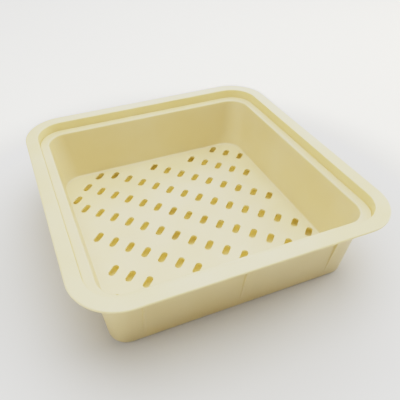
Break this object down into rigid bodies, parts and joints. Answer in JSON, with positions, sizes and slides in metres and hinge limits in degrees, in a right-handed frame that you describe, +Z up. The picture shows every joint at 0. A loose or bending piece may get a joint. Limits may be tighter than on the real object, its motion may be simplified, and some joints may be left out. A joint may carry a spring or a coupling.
{
  "type": "square cheese mould",
  "caption": "Square cheese mould of ivory plastic: a tub with a stepped rim, and a lift-out drainage basket with a slotted floor that hangs in it by its flange.",
  "frame": {"origin": "centre of the tub's underside, on the surface that the mould stands on", "axes": "+Z up out of the mould's mouth; X and Y along the sides of the square"},
  "size_m": [0.23, 0.23, 0.064],
  "materials": {
    "ivory_plastic_tub": "moulded ivory polypropylene, satin",
    "ivory_plastic_basket": "moulded ivory polypropylene, satin"
  },
  "bodies": {
    "tub": {"outer_tub": "ivory_plastic_tub"},
    "basket": {"drain_basket": "ivory_plastic_basket"}
  },
  "joints": [
    {"name": "basket_lift", "type": "slide", "parent": "tub", "child": "basket", "axis": [0, 0, 1], "range_m": [0, 0.07]}
  ]
}
